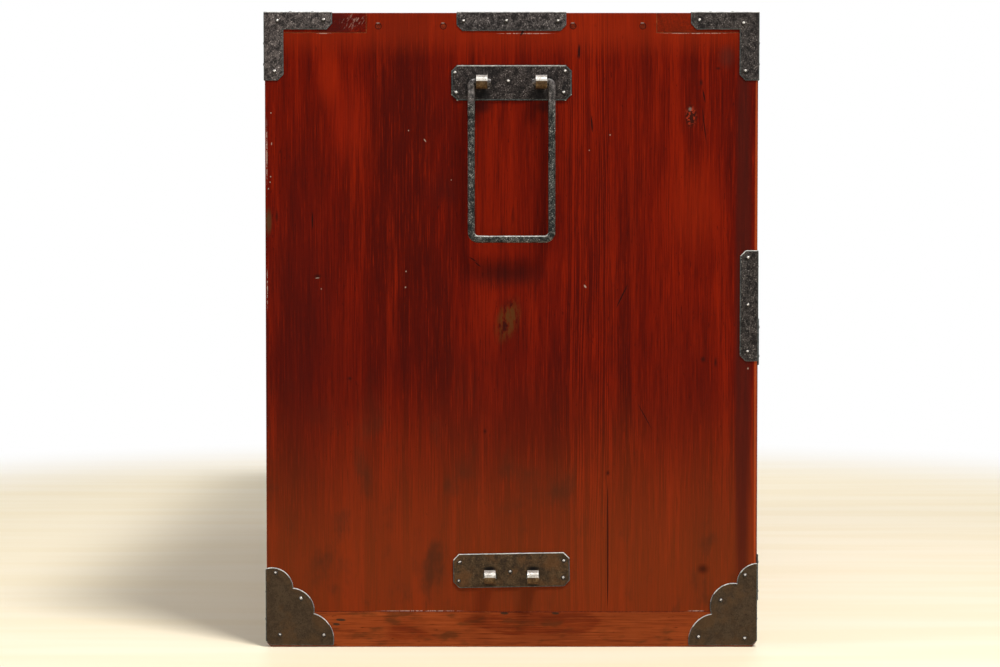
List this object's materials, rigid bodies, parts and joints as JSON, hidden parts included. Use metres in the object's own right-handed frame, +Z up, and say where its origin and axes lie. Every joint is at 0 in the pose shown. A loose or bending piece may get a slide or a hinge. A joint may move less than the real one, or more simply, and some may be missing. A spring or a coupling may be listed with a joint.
{
  "type": "clothing chest",
  "caption": "Low wide wooden clothing chest of a stacking pair, with full-width drawers, iron corner fittings, drop pulls, round lock plates and a swinging carrying handle on each side.",
  "frame": {"origin": "on the ground under the middle of the case", "axes": "+X to the right seen from the front, -Y out of the drawer fronts, +Z up"},
  "size_m": [1.1546, 0.4697, 0.5835],
  "materials": {
    "lacquered_wood": "red-brown lacquer",
    "plain_wood": "bare, aged",
    "paulownia_wood": "bare",
    "peg_wood": "lacquered",
    "forged_iron": "forged, oiled",
    "nail_iron": "forged, worn",
    "lock_iron": "filed"
  },
  "bodies": {
    "case": {"side_board_left": "lacquered_wood", "side_board_right": "lacquered_wood", "top_board": "lacquered_wood", "bottom_board": "lacquered_wood", "base_batten_left": "lacquered_wood", "base_batten_right": "lacquered_wood", "base_rail_front": "lacquered_wood", "middle_rail": "lacquered_wood", "base_rail_back": "plain_wood", "shelf_board": "plain_wood", "back_boards": "plain_wood", "wood_pegs": "peg_wood", "top_corner_iron_front_left": "forged_iron", "top_corner_iron_front_right": "forged_iron", "top_corner_iron_back_left": "forged_iron", "top_corner_iron_back_right": "forged_iron", "foot_corner_iron_front_left": "forged_iron", "foot_corner_iron_front_right": "forged_iron", "foot_corner_iron_back_left": "forged_iron", "foot_corner_iron_back_right": "forged_iron", "top_edge_strap_left": "forged_iron", "top_edge_strap_right": "forged_iron", "front_edge_strap_left": "forged_iron", "front_edge_strap_right": "forged_iron", "handle_plate_left": "forged_iron", "handle_plate_right": "forged_iron", "hook_plate_left": "forged_iron", "hook_plate_right": "forged_iron", "strap_eyes": "forged_iron", "case_nails": "nail_iron"},
    "carry_handle_left": {"carry_handle_left": "forged_iron"},
    "carry_handle_right": {"carry_handle_right": "forged_iron"},
    "upper_drawer": {"upper_drawer_front": "lacquered_wood", "upper_drawer_side_left": "paulownia_wood", "upper_drawer_side_right": "paulownia_wood", "upper_drawer_back": "paulownia_wood", "upper_drawer_bottom": "paulownia_wood", "upper_corner_irons": "forged_iron", "upper_lock_plate": "forged_iron", "upper_lock_case": "lock_iron", "upper_pull_plates": "forged_iron", "upper_pull_eyes": "forged_iron", "upper_drawer_nails": "nail_iron"},
    "upper_lock_bolt": {"upper_lock_bolt": "lock_iron"},
    "upper_pull_left": {"upper_pull_left": "forged_iron"},
    "upper_pull_right": {"upper_pull_right": "forged_iron"},
    "lower_drawer": {"lower_drawer_front": "lacquered_wood", "lower_drawer_side_left": "paulownia_wood", "lower_drawer_side_right": "paulownia_wood", "lower_drawer_back": "paulownia_wood", "lower_drawer_bottom": "paulownia_wood", "lower_corner_irons": "forged_iron", "lower_lock_plate": "forged_iron", "lower_lock_case": "lock_iron", "lower_pull_plates": "forged_iron", "lower_pull_eyes": "forged_iron", "lower_drawer_nails": "nail_iron"},
    "lower_lock_bolt": {"lower_lock_bolt": "lock_iron"},
    "lower_pull_left": {"lower_pull_left": "forged_iron"},
    "lower_pull_right": {"lower_pull_right": "forged_iron"}
  },
  "joints": [
    {"name": "carry_handle_left_swing", "type": "hinge", "parent": "case", "child": "carry_handle_left", "pos_m": [-0.571, 0, 0.5174], "axis": [0, 1, 0], "range_deg": [-2, 184]},
    {"name": "carry_handle_right_swing", "type": "hinge", "parent": "case", "child": "carry_handle_right", "pos_m": [0.571, 0, 0.5174], "axis": [0, -1, 0], "range_deg": [-2, 184]},
    {"name": "upper_drawer_slide", "type": "slide", "parent": "case", "child": "upper_drawer", "axis": [0, -1, 0], "range_m": [0, 0.34]},
    {"name": "upper_lock_bolt_slide", "type": "slide", "parent": "upper_drawer", "child": "upper_lock_bolt", "axis": [0, 0, 1], "range_m": [0, 0.008]},
    {"name": "upper_pull_left_swing", "type": "hinge", "parent": "upper_drawer", "child": "upper_pull_left", "pos_m": [-0.29, -0.234, 0.4618], "axis": [-1, 0, 0], "range_deg": [-3, 170]},
    {"name": "upper_pull_right_swing", "type": "hinge", "parent": "upper_drawer", "child": "upper_pull_right", "pos_m": [0.29, -0.234, 0.4618], "axis": [-1, 0, 0], "range_deg": [-3, 170]},
    {"name": "lower_drawer_slide", "type": "slide", "parent": "case", "child": "lower_drawer", "axis": [0, -1, 0], "range_m": [0, 0.34]},
    {"name": "lower_lock_bolt_slide", "type": "slide", "parent": "lower_drawer", "child": "lower_lock_bolt", "axis": [0, 0, 1], "range_m": [0, 0.008]},
    {"name": "lower_pull_left_swing", "type": "hinge", "parent": "lower_drawer", "child": "lower_pull_left", "pos_m": [-0.29, -0.2372, 0.2008], "axis": [-1, 0, 0], "range_deg": [-3, 170]},
    {"name": "lower_pull_right_swing", "type": "hinge", "parent": "lower_drawer", "child": "lower_pull_right", "pos_m": [0.29, -0.2372, 0.2008], "axis": [-1, 0, 0], "range_deg": [-3, 170]}
  ]
}
